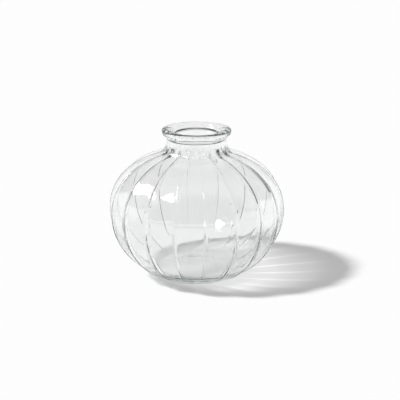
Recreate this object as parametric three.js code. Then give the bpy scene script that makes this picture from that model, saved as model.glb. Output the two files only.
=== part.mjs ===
// Balloon vase: a squat, round, fluted bud vase of clear glass, made in zones from the base up to the rim.
// Millimetres, +Z up. The origin is the centre of the ring that the vase stands on.
import * as THREE from "three";

// Outside form
const height = 86.3;
const bellyRadius = 50.4; // over the ribs
const bellyHeight = 39; // height of the widest level
const standRadius = 21; // outer edge of the ring that the vase stands on
const standWidth = 5.5;
const puntDepth = 0.6; // hollow under the base, inside the ring
const heelSlope = THREE.MathUtils.degToRad(19); // rise of the wall where it leaves the ring
const shoulderSlope = THREE.MathUtils.degToRad(16); // fall of the shoulder where the neck begins

// Neck and rim
const boreRadius = 12.45;
const neckWall = 4.65;
const shoulderStep = 4.05; // how far the shoulder's top stands out past the neck
const neckRise = 8.3; // from the top of the shoulder to the crease under the rim
const rimRise = 5.7; // from the crease to the top of the rim
const rimOverhang = 2.8; // how far the rim stands out past the neck
const rimSlope = THREE.MathUtils.degToRad(65); // rise of the rim's underside where it leaves the crease
const lipDrop = 1.05; // from the top of the rim down to its widest point
const crestInset = 2.7; // from the rim's widest point in to its top
const mouthDrop = 2.7; // from the top of the rim down to the bore's upper edge
const throatDrop = 1.8; // from the crease under the rim down to the bore's lower edge

// Glass thickness
const baseThickness = 4.5;
const bellyWall = 2.6;
const shoulderWall = 2.5; // where the shoulder runs into the neck
const floorRadius = 20; // flat part of the floor inside

// Flutes: hollow panels between narrow upright ribs, pressed in from outside and shallower inside
const fluteCount = 18;
const outerFluteDepth = 1.35; // below the ribs, at the widest level
const innerFluteDepth = 0.85;
const ribTurn = THREE.MathUtils.degToRad(16); // angle of the first rib from +X
const fluteFade = 4; // height over which the flutes run out at the heel and above the floor inside

// Fullness of the curves: length of a curve's end handle as a share of that curve's rise or run
const heelFullness = 0.55;
const bowlFullness = 0.48;
const floorFullness = 0.44;
const shoulderFullness = 0.57;
const shoulderTopFullness = 0.5;
const neckFootFullness = 0.5;
const neckFullness = 0.6;
const flareFullness = 0.5;
const lipFullness = 0.55;
const edgeFullness = 0.8;
const mouthFullness = 0.5;

// Levels where one zone ends and the next begins
const baseTop = 9;
const neckRadius = boreRadius + neckWall;
const rimRadius = neckRadius + rimOverhang;
const crestRadius = rimRadius - crestInset;
const creaseHeight = height - rimRise;
const shoulderTop = creaseHeight - neckRise;
const lipHeight = height - lipDrop;
const boreTop = height - mouthDrop;

// Fineness of the faceted surface
const facetsPerFlute = 4;
const wallSteps = 8; // along each long curve of the profile
const neckSteps = 4; // along each short curve
const lipSteps = 4; // along each half of the lip

const vector = (radius, level) => new THREE.Vector2(radius, level);

// The point at a distance from another, in a direction given as an angle above the horizontal.
const away = (point, distance, angle) =>
  vector(point.x + distance * Math.cos(angle), point.y + distance * Math.sin(angle));

function bezier(start, startHandle, endHandle, end, steps) {
  return new THREE.CubicBezierCurve(start, startHandle, endHandle, end).getPoints(steps);
}

// Joins stretches of a profile end to end, with the shared end points once.
const joined = (first, ...rest) => first.concat(...rest.map((stretch) => stretch.slice(1)));

const stand = vector(standRadius, 0);
const belly = vector(bellyRadius, bellyHeight);
const shoulderEnd = vector(neckRadius + shoulderStep, shoulderTop);
const crease = vector(neckRadius, creaseHeight);
const lip = vector(rimRadius, lipHeight);
const crest = vector(crestRadius, height);
const boreEdge = vector(boreRadius, boreTop);

// Outside of the wall from the ring it stands on to the widest point of the rim.
function outsideWall() {
  const bowlRun = bellyRadius - standRadius;
  const shoulderRise = shoulderTop - bellyHeight;
  const shoulderRun = bellyRadius - shoulderEnd.x;
  const flareRise = lipHeight - creaseHeight;
  const bowl = bezier(
    stand,
    away(stand, heelFullness * bowlRun, heelSlope),
    vector(belly.x, belly.y - bowlFullness * bellyHeight),
    belly,
    wallSteps,
  );
  const shoulder = bezier(
    belly,
    vector(belly.x, belly.y + shoulderFullness * shoulderRise),
    away(shoulderEnd, shoulderTopFullness * shoulderRun, -shoulderSlope),
    shoulderEnd,
    wallSteps,
  );
  const neck = bezier(
    shoulderEnd,
    away(shoulderEnd, -neckFootFullness * shoulderStep, -shoulderSlope),
    vector(crease.x, crease.y - neckFullness * neckRise),
    crease,
    neckSteps,
  );
  const flare = bezier(
    crease,
    away(crease, flareFullness * rimOverhang, rimSlope),
    vector(lip.x, lip.y - lipFullness * flareRise),
    lip,
    neckSteps,
  );
  return joined(bowl, shoulder, neck, flare);
}

// The lip from the rim's widest point over the top and down the mouth to the bore's upper edge.
function lipOverTheTop() {
  const outer = bezier(
    lip,
    vector(lip.x, lip.y + edgeFullness * lipDrop),
    vector(crest.x + mouthFullness * crestInset, crest.y),
    crest,
    lipSteps,
  );
  const inner = bezier(
    crest,
    vector(crest.x - mouthFullness * (crest.x - boreRadius), crest.y),
    vector(boreRadius, boreTop + mouthFullness * mouthDrop),
    boreEdge,
    lipSteps,
  );
  return joined(outer, inner);
}

// Inside of the wall from the edge of the floor up to the bore's upper edge.
function insideWall() {
  const floorEdge = vector(floorRadius, baseThickness);
  const innerBelly = vector(bellyRadius - bellyWall, bellyHeight);
  const innerShoulder = away(shoulderEnd, -shoulderWall, Math.PI / 2 - shoulderSlope);
  const boreBottom = vector(boreRadius, creaseHeight - throatDrop);
  const bowlRun = innerBelly.x - floorEdge.x;
  const bowlRise = innerBelly.y - floorEdge.y;
  const shoulderRun = innerBelly.x - innerShoulder.x;
  const shoulderRise = innerShoulder.y - innerBelly.y;
  const neckRun = innerShoulder.x - boreRadius;
  const bowl = bezier(
    floorEdge,
    vector(floorEdge.x + floorFullness * bowlRun, floorEdge.y),
    vector(innerBelly.x, innerBelly.y - bowlFullness * bowlRise),
    innerBelly,
    wallSteps,
  );
  const shoulder = bezier(
    innerBelly,
    vector(innerBelly.x, innerBelly.y + shoulderFullness * shoulderRise),
    away(innerShoulder, shoulderTopFullness * shoulderRun, -shoulderSlope),
    innerShoulder,
    wallSteps,
  );
  const throat = bezier(
    innerShoulder,
    away(innerShoulder, -neckFootFullness * neckRun, -shoulderSlope),
    vector(boreRadius, boreBottom.y - neckFullness * (boreBottom.y - innerShoulder.y)),
    boreBottom,
    neckSteps,
  );
  return joined(bowl, shoulder, throat, [boreBottom, boreEdge]);
}

// The part of a rising profile between two levels, cut exactly at both.
function between(profile, low, high) {
  const at = (level) => {
    const next = profile.findIndex((point) => point.y >= level);
    const above = profile[next];
    const below = profile[Math.max(next - 1, 0)];
    const share = above.y > below.y ? (level - below.y) / (above.y - below.y) : 0;
    return below.clone().lerp(above, share);
  };
  const inner = profile.filter((point) => point.y > low && point.y < high);
  return [at(low), ...inner, at(high)];
}

// Depth of the flutes at a point of the profile: none at the foot, where they begin, full over the body
// in step with the radius, and none at the crease under the rim.
function depthAt(point, foot, fullDepth) {
  const rise = THREE.MathUtils.smoothstep(point.y, foot, foot + fluteFade);
  const fall = 1 - THREE.MathUtils.smoothstep(point.y, shoulderTop, creaseHeight);
  return (fullDepth * rise * fall * point.x) / bellyRadius;
}

const outsideDepth = (point) => depthAt(point, 0, outerFluteDepth);
const insideDepth = (point) => depthAt(point, baseThickness, innerFluteDepth);

// How deep into a flute an angle lies: 0 on a rib, and 1 in the middle of a flute, along a parabola.
function fluteShare(angle) {
  const turns = ((angle - ribTurn) * fluteCount) / (2 * Math.PI);
  const fromRib = Math.abs(turns - Math.round(turns));
  return 1 - (1 - 2 * fromRib) ** 2;
}

const glass = new THREE.MeshStandardMaterial({
  name: "clear_glass",
  color: 0xe9f2ef,
  roughness: 0.04,
  metalness: 0,
  transparent: true,
  opacity: 0.35,
});

// Turns a closed profile round the axis and presses the flutes in, as deep as given for each profile point.
function turned(name, profile, depths) {
  const sides = fluteCount * facetsPerFlute;
  const geometry = new THREE.LatheGeometry(profile, sides, ribTurn);
  geometry.rotateX(Math.PI / 2);
  const position = geometry.getAttribute("position");
  for (let i = 0; i < position.count; i += 1) {
    const place = i % profile.length;
    if (depths[place] === 0) {
      continue;
    }
    const angle = Math.atan2(position.getY(i), position.getX(i));
    const scale = 1 - (depths[place] * fluteShare(angle)) / profile[place].x;
    position.setXY(i, position.getX(i) * scale, position.getY(i) * scale);
  }
  geometry.computeVertexNormals();
  const mesh = new THREE.Mesh(geometry, glass);
  mesh.name = name;
  return mesh;
}

// A zone of the wall between two levels: up the outside, across, and down the inside to where it began.
function wallZone(name, outside, inside, low, high) {
  const outer = between(outside, low, high);
  const inner = between(inside, low, high).reverse();
  const depths = [...outer.map(outsideDepth), ...inner.map(insideDepth), outsideDepth(outer[0])];
  return turned(name, [...outer, ...inner, outer[0]], depths);
}

// The thick base: punt and standing ring below, heel outside, flat floor inside.
function baseZone(outside, inside) {
  const ringInner = standRadius - standWidth;
  const puntEdge = vector(ringInner, 0);
  const punt = new THREE.QuadraticBezierCurve(
    vector(0, puntDepth),
    vector(ringInner / 2, puntDepth),
    puntEdge,
  ).getPoints(neckSteps);
  const heel = between(outside, 0, baseTop);
  const floorEdge = inside[0];
  const bowl = between(inside, floorEdge.y, baseTop).reverse();
  const plain = punt.map(() => 0);
  const depths = [...plain, ...heel.map(outsideDepth), ...bowl.map(insideDepth), 0];
  return turned("base", [...punt, ...heel, ...bowl, vector(0, floorEdge.y)], depths);
}

// The rim: flare outside, lip over the top, bore inside.
function rimZone(outside, lipProfile) {
  const flare = between(outside, creaseHeight, lipHeight);
  const boreFoot = vector(boreRadius, creaseHeight);
  const profile = [...joined(flare, lipProfile), boreFoot, flare[0]];
  return turned("rim", profile, profile.map(() => 0));
}

const outside = outsideWall();
const inside = insideWall();

const vase = new THREE.Group();
vase.name = "balloon_vase";
vase.add(
  baseZone(outside, inside),
  wallZone("bowl", outside, inside, baseTop, bellyHeight),
  wallZone("shoulder", outside, inside, bellyHeight, shoulderTop),
  wallZone("neck", outside, inside, shoulderTop, creaseHeight),
  rimZone(outside, lipOverTheTop()),
);

export default vase;
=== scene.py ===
import math

import bpy
import numpy as np
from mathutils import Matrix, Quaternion, Vector


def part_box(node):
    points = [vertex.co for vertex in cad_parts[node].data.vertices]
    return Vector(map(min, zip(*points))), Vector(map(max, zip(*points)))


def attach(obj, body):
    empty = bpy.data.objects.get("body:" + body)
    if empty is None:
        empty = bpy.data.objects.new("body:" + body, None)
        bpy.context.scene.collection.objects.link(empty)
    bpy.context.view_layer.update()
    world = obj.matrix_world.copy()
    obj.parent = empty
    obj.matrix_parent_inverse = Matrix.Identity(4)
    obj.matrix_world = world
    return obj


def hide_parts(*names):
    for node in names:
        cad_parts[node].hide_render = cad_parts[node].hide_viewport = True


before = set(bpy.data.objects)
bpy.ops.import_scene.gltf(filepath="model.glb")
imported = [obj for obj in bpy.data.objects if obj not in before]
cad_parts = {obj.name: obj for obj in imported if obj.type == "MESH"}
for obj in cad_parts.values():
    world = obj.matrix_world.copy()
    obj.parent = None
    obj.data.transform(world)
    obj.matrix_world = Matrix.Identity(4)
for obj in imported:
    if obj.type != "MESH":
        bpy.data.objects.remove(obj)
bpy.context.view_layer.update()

MM = 0.001

# Levels and radii read from the frame
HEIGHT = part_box("rim")[1][2]
RIM_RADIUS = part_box("rim")[1][0]
SHOULDER_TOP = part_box("shoulder")[1][2]
BELLY_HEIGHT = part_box("bowl")[1][2]

# Outside form
BELLY_RADIUS = 50.4 * MM  # over the ribs
STAND_RADIUS = 21 * MM  # outer edge of the ring that the vase stands on
STAND_WIDTH = 5.5 * MM
PUNT_DEPTH = 0.6 * MM  # hollow under the base, inside the ring
HEEL_SLOPE = math.radians(19)  # rise of the wall where it leaves the ring
SHOULDER_SLOPE = math.radians(16)  # fall of the shoulder where the neck begins
SHOULDER_STEP = 4.05 * MM  # how far the shoulder's top stands out past the neck
NECK_RISE = 8.3 * MM  # from the top of the shoulder to the crease under the rim
RIM_OVERHANG = 2.8 * MM  # how far the rim stands out past the neck
RIM_SLOPE = math.radians(65)  # rise of the rim's underside where it leaves the crease
CREASE_ROUNDING = 0.7 * MM  # length of the rounding on either side of the crease
LIP_DROP = 1.05 * MM  # from the top of the rim down to its widest point
CREST_RADIUS = 17.2 * MM  # where the rim is highest
MOUTH_DROP = 2.7 * MM  # from the top of the rim down to the bore's upper edge
THROAT_DROP = 1.8 * MM  # from the crease down to the bore's lower edge

# Glass thickness
NECK_WALL = 4.65 * MM
BASE_THICKNESS = 4.5 * MM
BELLY_WALL = 2.6 * MM
SHOULDER_WALL = 2.5 * MM  # where the shoulder runs into the neck
FLOOR_RADIUS = 20 * MM  # flat part of the floor inside

# Flutes between narrow ribs
FLUTES = 18
HALF_FLUTE = math.pi / FLUTES
RIB_TURN = math.radians(16)  # angle of the first rib from +X
RIB_HEIGHT = 0.5 * MM  # above the edges of the flutes beside it
RIB_HALF_WIDTH = 1.2 * MM
RIB_EDGE = RIB_HALF_WIDTH / (BELLY_RADIUS * HALF_FLUTE)  # as a share of half a flute
FLUTE_DEPTH = 0.85 * MM  # from the edge of a rib to the middle of a flute
INNER_DEPTH = 0.85 * MM  # of the flutes inside, which have no ribs between them
FLUTE_FADE = 4 * MM  # height over which the flutes run out at the heel and above the floor inside

# Fullness of the profile's curves: length of an end handle as a share of the curve's rise or run
HEEL_FULLNESS = 0.55
BOWL_FULLNESS = 0.48
FLOOR_FULLNESS = 0.44
SHOULDER_FULLNESS = 0.57
NECK_FULLNESS = 0.6
FLARE_FULLNESS = 0.55
EDGE_FULLNESS = 0.8
EVEN = 0.5

# Levels and radii that follow from these
NECK_RADIUS = RIM_RADIUS - RIM_OVERHANG
BORE_RADIUS = NECK_RADIUS - NECK_WALL
CREASE_HEIGHT = SHOULDER_TOP + NECK_RISE
LIP_HEIGHT = HEIGHT - LIP_DROP
BORE_TOP = HEIGHT - MOUTH_DROP
BORE_FOOT = CREASE_HEIGHT - THROAT_DROP

# Fineness of the mesh
RIB_COLUMNS = 12
HOLLOW_COLUMNS = 10
WALL_STEPS = 32
CURVE_STEPS = 10
LINE_STEPS = 4
UNDERSIDE_ROWS = CURVE_STEPS + 1  # rows of the punt, up to the ring
SLOPE_STEP = 1e-4 * HALF_FLUTE  # turn over which the slope round the axis is taken

# Glass: refraction, and the green of thick glass
REFRACTION = 1.6
DEPTH_COLOUR = (0.2, 0.5, 0.42, 1)
DEPTH_DENSITY = 3

# Glass: fine detail of the surface
NOISE_DETAIL = 1
WAVE_SCALE = 55  # per metre
WAVE_DEPTH = 0.2 * MM
WAVE_STRENGTH = 0.1
HAZE_SCALE = 25  # per metre
HAZE_SPAN = (0.5, 0.8)  # noise at which haze begins and is full
HAZE_MOST = 0.02  # roughness where the haze is full
CLEAR = (1, 1, 1, 1)
TINT = (0.96, 0.96, 0.965, 1)

# Glass: share of a lamp's light that it lets through to the table
NEAR_SIDE = (-35 * MM, -15 * MM)  # where the side towards the key lamp ends, across the vase
FAR_SIDE = (10 * MM, 30 * MM)  # where the side away from it begins
NECK_SPAN = (60 * MM, 72 * MM)  # levels between which the glass becomes as clear as the near side
NEAR_GRAZE = (0.75, 1)  # how grazing light is when it begins to fail and when none is left, near side
FAR_GRAZE = (0.25, 0.75)  # the same on the far side
DIM_SPAN = (2 * MM, 38 * MM)  # levels between which the loss through the far side grows
DIM_MOST = 0.8
FOOT_HEIGHT = 10 * MM
FOOT_PASS = 0.7  # at the foot, rising to 1 over its height
FLUTE_PASS = 0.98
RIB_PASS = 1.5  # above 1, because a rib gathers the light

# Studio: brightness by direction, which is a unit vector with +Y away from the camera
SWEEP_SPAN = (-0.7, -0.4)  # how far back the white sweep rises from the level of the table
SWEEP_EDGE = 0.17  # height of its upper edge
SWEEP_BLUR = 0.02
WALL_SPAN = (0.6, 0.87)  # how far back the light wall begins and is full
WALL_LIGHT = 0.75
CEILING_SPAN = (0.94, 0.98)  # heights between which the wall goes over into the dark ceiling
AMBIENT = 0.48  # light on the table from all round

# Table, and the dark front of the studio
TABLE_SPAN = (-6, 6)
TABLE_LEVEL = -0.1 * MM  # keeps the table's face apart from the ring that stands on it
TABLE_WHITE = (0.98, 0.98, 0.98, 1)
CARD_ACROSS = (-1.5, 1.5)
CARD_ALONG = (-0.75, -0.36)
CARD_LEVEL = 1 * MM
CARD_DARK = (0.02, 0.02, 0.02, 1)

# Lamps: angles in degrees, azimuth from the front towards the right
LAMP_DISTANCE = 1.2
KEY_AZIMUTH = -77
KEY_ELEVATION = 48.5
KEY_ENERGY = 2.2
KEY_SPREAD = math.radians(7)  # how wide it looks, which softens the shadow's edge
WIDE_AZIMUTH = -98
WIDE_ELEVATION = 36.5
WIDE_ENERGY = 5
WIDE_LENGTH = 0.5
WIDE_BREADTH = 0.28
WIDE_THROUGH = 0  # share of the wide softbox that shows through glass
SMALL_AZIMUTH = -68
SMALL_ELEVATION = 43.5
SMALL_ROLL = -35
SMALL_ENERGY = 3
SMALL_SIZE = 0.28
SMALL_THROUGH = 0.6  # share of the small softbox that shows through glass

# Camera, fitted to the vase's outline
CAMERA_PITCH = math.radians(16.26)
CAMERA_DISTANCE = 844 * MM
CAMERA_AIM = Vector((1.96 * MM, 0, 44 * MM))
SENSOR_WIDTH = 36
LENS = 131.85

# Longest paths of light through thick glass
GLASS_BOUNCES = 32
MIRROR_BOUNCES = 24


def ahead(point, distance, angle):
    """The point at a distance from another, in a direction given as an angle above the horizontal."""
    return (point[0] + distance * math.cos(angle), point[1] + distance * math.sin(angle))


def bezier(start, start_handle, end_handle, end, steps):
    """Points of a cubic Bezier curve in the plane of radius and height, without its last point."""
    t = np.linspace(0, 1, steps, endpoint=False)[:, None]
    corners = [np.array(p) for p in (start, start_handle, end_handle, end)]
    weights = [(1 - t) ** 3, 3 * t * (1 - t) ** 2, 3 * t * t * (1 - t), t**3]
    return sum(weight * corner for weight, corner in zip(weights, corners))


def line(start, end):
    """Evenly spaced points from start towards end, without the end."""
    t = np.linspace(0, 1, LINE_STEPS, endpoint=False)[:, None]
    return (1 - t) * np.array(start) + t * np.array(end)


def outside_profile():
    """Radius and height from the middle of the underside, round the heel and up the wall to the lip: a
    parabola for the punt, a line for the ring, and Bezier curves for the wall, the crease and the rim."""
    punt = (0, PUNT_DEPTH)
    ring = (STAND_RADIUS - STAND_WIDTH, 0)
    punt_inner = (ring[0] / 3, PUNT_DEPTH)
    punt_outer = (ring[0] * 2 / 3, PUNT_DEPTH * 2 / 3)
    stand = (STAND_RADIUS, 0)
    heel = ahead(stand, HEEL_FULLNESS * (BELLY_RADIUS - STAND_RADIUS), HEEL_SLOPE)
    belly_below = (BELLY_RADIUS, BELLY_HEIGHT * (1 - BOWL_FULLNESS))
    belly = (BELLY_RADIUS, BELLY_HEIGHT)
    belly_above = (BELLY_RADIUS, BELLY_HEIGHT + SHOULDER_FULLNESS * (SHOULDER_TOP - BELLY_HEIGHT))
    shoulder = (NECK_RADIUS + SHOULDER_STEP, SHOULDER_TOP)
    shoulder_below = ahead(shoulder, EVEN * (BELLY_RADIUS - shoulder[0]), -SHOULDER_SLOPE)
    shoulder_above = ahead(shoulder, -EVEN * SHOULDER_STEP, -SHOULDER_SLOPE)
    neck = (NECK_RADIUS, CREASE_HEIGHT - NECK_FULLNESS * NECK_RISE)
    crease = (NECK_RADIUS, CREASE_HEIGHT)
    under_crease = (NECK_RADIUS, CREASE_HEIGHT - CREASE_ROUNDING)
    over_crease = ahead(crease, CREASE_ROUNDING, RIM_SLOPE)
    flare = ahead(over_crease, EVEN * RIM_OVERHANG, RIM_SLOPE)
    lip = (RIM_RADIUS, LIP_HEIGHT)
    lip_below = (RIM_RADIUS, LIP_HEIGHT - FLARE_FULLNESS * (LIP_HEIGHT - CREASE_HEIGHT))
    return np.concatenate([
        bezier(punt, punt_inner, punt_outer, ring, CURVE_STEPS),
        line(ring, stand),
        bezier(stand, heel, belly_below, belly, WALL_STEPS),
        bezier(belly, belly_above, shoulder_below, shoulder, WALL_STEPS),
        bezier(shoulder, shoulder_above, neck, under_crease, CURVE_STEPS),
        bezier(under_crease, crease, crease, over_crease, CURVE_STEPS),
        bezier(over_crease, flare, lip_below, lip, CURVE_STEPS),
    ])


def inside_profile():
    """Radius and height from the lip over the top, down the mouth and bore, and in to the floor's middle:
    Bezier curves for the lip, the throat and the wall, and lines for the bore and the floor."""
    lip = (RIM_RADIUS, LIP_HEIGHT)
    lip_above = (RIM_RADIUS, LIP_HEIGHT + EDGE_FULLNESS * LIP_DROP)
    crest = (CREST_RADIUS, HEIGHT)
    crest_outer = (CREST_RADIUS + EVEN * (RIM_RADIUS - CREST_RADIUS), HEIGHT)
    crest_inner = (CREST_RADIUS - EVEN * (CREST_RADIUS - BORE_RADIUS), HEIGHT)
    mouth = (BORE_RADIUS, BORE_TOP + EVEN * MOUTH_DROP)
    bore = (BORE_RADIUS, BORE_TOP)
    bore_foot = (BORE_RADIUS, BORE_FOOT)
    shoulder = (NECK_RADIUS + SHOULDER_STEP, SHOULDER_TOP)
    throat = ahead(shoulder, -SHOULDER_WALL, math.pi / 2 - SHOULDER_SLOPE)
    belly = (BELLY_RADIUS - BELLY_WALL, BELLY_HEIGHT)
    floor = (FLOOR_RADIUS, BASE_THICKNESS)
    middle = (0, BASE_THICKNESS)
    bore_below = (BORE_RADIUS, BORE_FOOT - NECK_FULLNESS * (BORE_FOOT - throat[1]))
    throat_above = ahead(throat, -EVEN * (throat[0] - BORE_RADIUS), -SHOULDER_SLOPE)
    throat_below = ahead(throat, EVEN * (belly[0] - throat[0]), -SHOULDER_SLOPE)
    belly_above = (belly[0], belly[1] + SHOULDER_FULLNESS * (throat[1] - belly[1]))
    belly_below = (belly[0], belly[1] - BOWL_FULLNESS * (belly[1] - floor[1]))
    floor_outer = (floor[0] + FLOOR_FULLNESS * (belly[0] - floor[0]), floor[1])
    return np.concatenate([
        bezier(lip, lip_above, crest_outer, crest, CURVE_STEPS),
        bezier(crest, crest_inner, mouth, bore, CURVE_STEPS),
        line(bore, bore_foot),
        bezier(bore_foot, bore_below, throat_above, throat, CURVE_STEPS),
        bezier(throat, throat_below, belly_above, belly, WALL_STEPS),
        bezier(belly, belly_below, floor_outer, floor, WALL_STEPS),
        line(floor, middle),
        np.array([middle]),
    ])


def smooth_step(x, low, high):
    """Rises smoothly from 0 at low to 1 at high."""
    t = np.clip((x - low) / (high - low), 0, 1)
    return t * t * (3 - 2 * t)


def from_rib(angle):
    """Distance of an angle from the nearest rib, as a share of half a flute: 0 on a rib, 1 in the middle
    of a flute."""
    turns = (angle - RIB_TURN) / (2 * HALF_FLUTE)
    return 2 * np.abs(turns - np.round(turns))


def rib_share(angle):
    """How far an angle is up a rib: one less the square of its distance from the rib's middle, as a share of
    the rib's half width, and that squared."""
    return np.clip(1 - (from_rib(angle) / RIB_EDGE) ** 2, 0, 1) ** 2


def relief(angle, rib_height, flute_depth):
    """Depth of the wall below the tops of the ribs: the rib's bead, then a parabola to the middle of the
    flute."""
    hollow = np.minimum(1 - from_rib(angle), 1 - RIB_EDGE) / (1 - RIB_EDGE)
    return rib_height * (1 - rib_share(angle)) + flute_depth * (1 - hollow**2)


def flute_angles():
    """Angles of the mesh columns all round, closest together over the ribs."""
    rib = np.linspace(-RIB_EDGE, RIB_EDGE, RIB_COLUMNS, endpoint=False)
    hollow = np.linspace(RIB_EDGE, 2 - RIB_EDGE, HOLLOW_COLUMNS, endpoint=False)
    first = RIB_TURN + HALF_FLUTE * np.concatenate([rib, hollow])
    return (first + 2 * HALF_FLUTE * np.arange(FLUTES)[:, None]).ravel()


def vase_skin(angles):
    """The vase as one closed skin, and how far each of its points is up a rib. The skin is the profile
    turned round the axis. Each point's radius is its profile radius less the flute's depth there, which
    keeps step with the radius and fades out at the foot and the neck."""
    outside = outside_profile()
    profile = np.concatenate([outside, inside_profile()])
    radius = profile[:, 0]
    level = profile[:, 1]
    is_outside = np.arange(len(profile)) < len(outside)
    foot = np.where(is_outside, 0, BASE_THICKNESS)
    at_foot = smooth_step(level, foot, foot + FLUTE_FADE)
    at_neck = 1 - smooth_step(level, SHOULDER_TOP, CREASE_HEIGHT)
    fade = (at_foot * at_neck)[:, None]
    fade[:UNDERSIDE_ROWS] = 0
    outside_depth = relief(angles, RIB_HEIGHT, FLUTE_DEPTH)
    inside_depth = relief(angles, 0, INNER_DEPTH)
    depth = np.where(is_outside[:, None], outside_depth, inside_depth) / BELLY_RADIUS
    around = radius[:, None] * (1 - fade * depth)
    height = np.broadcast_to(level[:, None], around.shape)
    skin = np.stack([around * np.cos(angles), around * np.sin(angles), height], axis=-1)
    return skin, fade * rib_share(angles)


def skin_normals(rings, angles):
    """Outward directions across the skin: the cross product of its slope round the axis and its slope along
    the profile."""
    round_axis = vase_skin(angles + SLOPE_STEP)[0] - vase_skin(angles - SLOPE_STEP)[0]
    lengths = np.linalg.norm(np.diff(rings[:, 0], axis=0), axis=1)
    along = np.gradient(rings, np.concatenate([[0], np.cumsum(lengths)]), axis=0)
    normals = np.cross(round_axis, along)
    normals[0] = (0, 0, -1)
    normals[-1] = (0, 0, 1)
    return normals / np.linalg.norm(normals, axis=-1, keepdims=True)


def closed_skin(name, rings, normals, ribs):
    """A mesh of quads between neighbouring rings, closed round, whose first and last rings shrink to points
    on the axis that fans of triangles close."""
    count = rings.shape[0] - 2
    around = rings.shape[1]

    def point_list(grid):
        between = grid[1:-1].reshape(count * around, -1)
        on_axis = grid[[0, -1], 0].reshape(2, -1)
        return np.concatenate([between, on_axis])

    here = np.arange(around)
    there = (here + 1) % around
    low = around * np.arange(count - 1)[:, None]
    high = low + around
    quads = np.stack([low + here, low + there, high + there, high + here], axis=-1).reshape(-1, 4)
    first_point = np.full(around, count * around)
    last_ring = (count - 1) * around
    underside = np.stack([first_point, there, here], axis=-1)
    floor = np.stack([first_point + 1, last_ring + here, last_ring + there], axis=-1)
    mesh = bpy.data.meshes.new(name)
    mesh.from_pydata(point_list(rings).tolist(), [], quads.tolist() + underside.tolist() + floor.tolist())
    mesh.polygons.foreach_set("use_smooth", np.ones(len(mesh.polygons), dtype=bool))
    mesh.attributes.new("rib", "FLOAT", "POINT").data.foreach_set("value", point_list(ribs).ravel())
    mesh.normals_split_custom_set_from_vertices(point_list(normals).tolist())
    mesh.update()
    piece = bpy.data.objects.new(name, mesh)
    bpy.context.collection.objects.link(piece)
    return piece


def ranged(tree, source, start, end, first, last):
    """A value carried from the span start to end over to the span first to last, and held beyond them."""
    node = tree.nodes.new("ShaderNodeMapRange")
    spans = {"From Min": start, "From Max": end, "To Min": first, "To Max": last}
    for socket, value in spans.items():
        node.inputs[socket].default_value = value
    tree.links.new(source, node.inputs["Value"])
    return node.outputs["Result"]


def combined(tree, operation, first, second):
    """The result of an operation on two values."""
    node = tree.nodes.new("ShaderNodeMath")
    node.operation = operation
    tree.links.new(first, node.inputs[0])
    tree.links.new(second, node.inputs[1])
    return node.outputs["Value"]


def mixed(tree, share, first, second):
    """A shader that goes from the first to the second as the share goes from 0 to 1."""
    node = tree.nodes.new("ShaderNodeMixShader")
    tree.links.new(share, node.inputs["Fac"])
    tree.links.new(first, node.inputs[1])
    tree.links.new(second, node.inputs[2])
    return node.outputs["Shader"]


def noise(tree, place, scale):
    """Soft noise over the places of a piece."""
    node = tree.nodes.new("ShaderNodeTexNoise")
    node.inputs["Scale"].default_value = scale
    node.inputs["Detail"].default_value = NOISE_DETAIL
    tree.links.new(place, node.inputs["Vector"])
    return node.outputs["Fac"]


def glass_detail(tree, place):
    """Fine detail of blown glass: slow waves of the surface, and patches of faint haze with some grey."""
    shader = tree.nodes["Principled BSDF"]
    haze = noise(tree, place, HAZE_SCALE)
    tree.links.new(ranged(tree, haze, *HAZE_SPAN, 0, HAZE_MOST), shader.inputs["Roughness"])
    colour = tree.nodes.new("ShaderNodeMix")
    colour.data_type = "RGBA"
    colour.inputs["A"].default_value = CLEAR
    colour.inputs["B"].default_value = TINT
    tree.links.new(haze, colour.inputs["Factor"])
    tree.links.new(colour.outputs["Result"], shader.inputs["Base Color"])
    waves = tree.nodes.new("ShaderNodeBump")
    waves.inputs["Strength"].default_value = WAVE_STRENGTH
    waves.inputs["Distance"].default_value = WAVE_DEPTH
    tree.links.new(noise(tree, place, WAVE_SCALE), waves.inputs["Height"])
    tree.links.new(waves.outputs["Normal"], shader.inputs["Normal"])


def lamp_share(tree, place):
    """Share of a lamp's light that goes straight through the glass: less where the light grazes it, and
    sooner so on the far side, less through the far side with height, less at the foot, and most along the
    ribs."""
    split = tree.nodes.new("ShaderNodeSeparateXYZ")
    tree.links.new(place, split.inputs["Vector"])
    across = split.outputs["X"]
    level = split.outputs["Z"]
    facing = tree.nodes.new("ShaderNodeLayerWeight")
    rib = tree.nodes.new("ShaderNodeAttribute")
    rib.attribute_name = "rib"
    towards_key = ranged(tree, across, *NEAR_SIDE, 1, 0)
    near_side = combined(tree, "MAXIMUM", towards_key, ranged(tree, level, *NECK_SPAN, 0, 1))
    squarely = ranged(tree, facing.outputs["Facing"], 0, 1, 1, 0)
    graze_start = ranged(tree, near_side, 0, 1, FAR_GRAZE[0], NEAR_GRAZE[0])
    graze_end = ranged(tree, near_side, 0, 1, FAR_GRAZE[1], NEAR_GRAZE[1])
    tree.links.new(graze_start, squarely.node.inputs["From Min"])
    tree.links.new(graze_end, squarely.node.inputs["From Max"])
    far_side = ranged(tree, across, *FAR_SIDE, 0, 1)
    dimmed = combined(tree, "MULTIPLY", far_side, ranged(tree, level, *DIM_SPAN, 0, DIM_MOST))
    undimmed = ranged(tree, dimmed, 0, 1, 1, 0)
    on_rib = ranged(tree, rib.outputs["Fac"], 0, 1, FLUTE_PASS, RIB_PASS)
    at_foot = ranged(tree, level, 0, FOOT_HEIGHT, FOOT_PASS, 1)
    share = squarely
    for factor in (undimmed, on_rib, at_foot):
        share = combined(tree, "MULTIPLY", share, factor)
    return share


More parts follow.
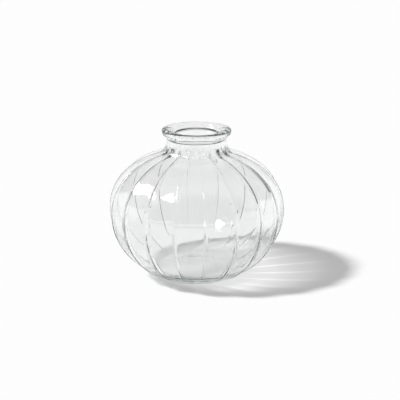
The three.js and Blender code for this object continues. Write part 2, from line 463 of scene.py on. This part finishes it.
def clear_glass():
    """Clear glass with fine detail, faintly green where it is thick. Lamps shine straight through it with a
    share of their light, and light from the table goes through it whole."""
    material = bpy.data.materials.new("clear_glass")
    material.use_nodes = True
    tree = material.node_tree
    output = tree.nodes["Material Output"]
    shader = tree.nodes["Principled BSDF"]
    shader.inputs["IOR"].default_value = REFRACTION
    shader.inputs["Transmission Weight"].default_value = 1
    depth_tint = tree.nodes.new("ShaderNodeVolumeAbsorption")
    depth_tint.inputs["Color"].default_value = DEPTH_COLOUR
    depth_tint.inputs["Density"].default_value = DEPTH_DENSITY
    tree.links.new(depth_tint.outputs["Volume"], output.inputs["Volume"])
    place = tree.nodes.new("ShaderNodeTexCoord").outputs["Object"]
    glass_detail(tree, place)
    lamp_light = tree.nodes.new("ShaderNodeBsdfTransparent")
    tree.links.new(lamp_share(tree, place), lamp_light.inputs["Color"])
    table_light = tree.nodes.new("ShaderNodeBsdfTransparent")
    path = tree.nodes.new("ShaderNodeLightPath")
    lit = mixed(tree, path.outputs["Is Shadow Ray"], shader.outputs["BSDF"], lamp_light.outputs["BSDF"])
    glass = mixed(tree, path.outputs["Is Diffuse Ray"], lit, table_light.outputs["BSDF"])
    tree.links.new(glass, output.inputs["Surface"])
    return material


def level_sheet(name, across, along, level, finish):
    """A level rectangle of the stage, over a span from side to side and a span from front to back."""
    left, right = across
    front, back = along
    corners = [(left, front, level), (right, front, level), (right, back, level), (left, back, level)]
    mesh = bpy.data.meshes.new(name)
    mesh.from_pydata(corners, [], [(0, 1, 2, 3)])
    mesh.materials.append(finish)
    piece = bpy.data.objects.new(name, mesh)
    bpy.context.collection.objects.link(piece)
    return piece


def plain_finish(name, colour, **sockets):
    """A material of one colour, with other values of its shader where they are given."""
    material = bpy.data.materials.new(name)
    material.use_nodes = True
    shader = material.node_tree.nodes["Principled BSDF"]
    shader.inputs["Base Color"].default_value = colour
    for socket, value in sockets.items():
        shader.inputs[socket].default_value = value
    return material


def white_table():
    """The matt white table that the vase stands on."""
    matt = {"Roughness": 1, "Specular IOR Level": 0}
    finish = plain_finish("white_table", TABLE_WHITE, **matt)
    level_sheet("table", TABLE_SPAN, TABLE_SPAN, TABLE_LEVEL, finish)


def front_card():
    """The dark front of the studio, which the glass mirrors. The camera doesn't see it."""
    finish = plain_finish("dark_card", CARD_DARK)
    card = level_sheet("front_card", CARD_ACROSS, CARD_ALONG, CARD_LEVEL, finish)
    card.visible_camera = False
    card.visible_diffuse = False
    card.visible_shadow = False


def studio_world():
    """The studio round the table: a white sweep low down, and above its edge a dark room with a light wall
    straight behind and a dark ceiling. The table is lit evenly from all round instead."""
    world = bpy.data.worlds.new("studio")
    bpy.context.scene.world = world
    world.use_nodes = True
    world.cycles.sampling_method = "NONE"
    tree = world.node_tree
    direction = tree.nodes.new("ShaderNodeTexCoord")
    split = tree.nodes.new("ShaderNodeSeparateXYZ")
    tree.links.new(direction.outputs["Generated"], split.inputs["Vector"])
    back = split.outputs["Y"]
    rise = split.outputs["Z"]
    sweep_edge = ranged(tree, back, *SWEEP_SPAN, 0, SWEEP_EDGE)
    above_sweep = combined(tree, "SUBTRACT", rise, sweep_edge)
    sweep = ranged(tree, above_sweep, 0, SWEEP_BLUR, 1, 0)
    below_ceiling = ranged(tree, rise, *CEILING_SPAN, 1, 0)
    wall = combined(tree, "MULTIPLY", below_ceiling, ranged(tree, back, *WALL_SPAN, 0, WALL_LIGHT))
    path = tree.nodes.new("ShaderNodeLightPath")
    seen = ranged(tree, path.outputs["Diffuse Depth"], 0, 1, 1, 0)
    surroundings = combined(tree, "MULTIPLY", combined(tree, "MAXIMUM", sweep, wall), seen)
    on_table = ranged(tree, seen, 0, 1, AMBIENT, 0)
    light = combined(tree, "ADD", surroundings, on_table)
    tree.links.new(light, tree.nodes["Background"].inputs["Color"])


def lamp(name, kind, azimuth, elevation, roll=0, **settings):
    """A lamp aimed at the middle of the vase's widest level, and turned about its aim by the roll."""
    data = bpy.data.lights.new(name, kind)
    for setting, value in settings.items():
        setattr(data, setting, value)
    piece = bpy.data.objects.new(name, data)
    turn = math.radians(azimuth)
    tilt = math.radians(elevation)
    away = Vector((math.sin(turn) * math.cos(tilt), -math.cos(turn) * math.cos(tilt), math.sin(tilt)))
    piece.location = away * LAMP_DISTANCE + Vector((0, 0, BELLY_HEIGHT))
    rolled = Quaternion((0, 0, 1), math.radians(roll))
    piece.rotation_euler = (away.to_track_quat("Z", "Y") @ rolled).to_euler()
    bpy.context.collection.objects.link(piece)
    return piece


def seen_only(piece, through_glass):
    """Lets a lamp show in the glass without lighting the table. Through glass only a share of it shows."""
    piece.visible_diffuse = False
    piece.data.use_nodes = True
    tree = piece.data.node_tree
    path = tree.nodes.new("ShaderNodeLightPath")
    seen = ranged(tree, path.outputs["Diffuse Depth"], 0, 1, 1, 0)
    strength = ranged(tree, path.outputs["Transmission Depth"], 0, 1, 1, through_glass)
    shown = combined(tree, "MULTIPLY", seen, strength)
    tree.links.new(shown, tree.nodes["Emission"].inputs["Strength"])


def studio_lamps():
    """A sun-like key lamp that lights the table, and two softboxes that show as highlights in the glass."""
    key = lamp("key", "SUN", KEY_AZIMUTH, KEY_ELEVATION, energy=KEY_ENERGY, angle=KEY_SPREAD)
    key.visible_glossy = False
    key.visible_transmission = False
    wide_shape = {"shape": "RECTANGLE", "size": WIDE_LENGTH, "size_y": WIDE_BREADTH}
    wide = lamp("softbox", "AREA", WIDE_AZIMUTH, WIDE_ELEVATION, energy=WIDE_ENERGY, **wide_shape)
    seen_only(wide, WIDE_THROUGH)
    small_shape = {"shape": "SQUARE", "size": SMALL_SIZE}
    small = lamp("small_softbox", "AREA", SMALL_AZIMUTH, SMALL_ELEVATION, SMALL_ROLL, energy=SMALL_ENERGY,
                 **small_shape)
    seen_only(small, SMALL_THROUGH)


def photo_camera():
    """A camera in front of the vase that looks down on it by its pitch."""
    data = bpy.data.cameras.new("photo_camera")
    data.sensor_width = SENSOR_WIDTH
    data.lens = LENS
    piece = bpy.data.objects.new("photo_camera", data)
    towards_camera = Vector((0, -math.cos(CAMERA_PITCH), math.sin(CAMERA_PITCH)))
    piece.location = CAMERA_AIM + CAMERA_DISTANCE * towards_camera
    piece.rotation_euler = (math.pi / 2 - CAMERA_PITCH, 0, 0)
    bpy.context.collection.objects.link(piece)
    bpy.context.scene.camera = piece


angles = flute_angles()
rings, ribs = vase_skin(angles)
vase = closed_skin("vase_glass", rings, skin_normals(rings, angles), ribs)
vase.data.materials.append(clear_glass())
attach(vase, "root")
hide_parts("base", "bowl", "shoulder", "neck", "rim")

white_table()
studio_world()
front_card()
studio_lamps()
photo_camera()

scene = bpy.context.scene
scene.view_settings.view_transform = "Standard"
scene.cycles.max_bounces = GLASS_BOUNCES
scene.cycles.transmission_bounces = GLASS_BOUNCES
scene.cycles.glossy_bounces = MIRROR_BOUNCES
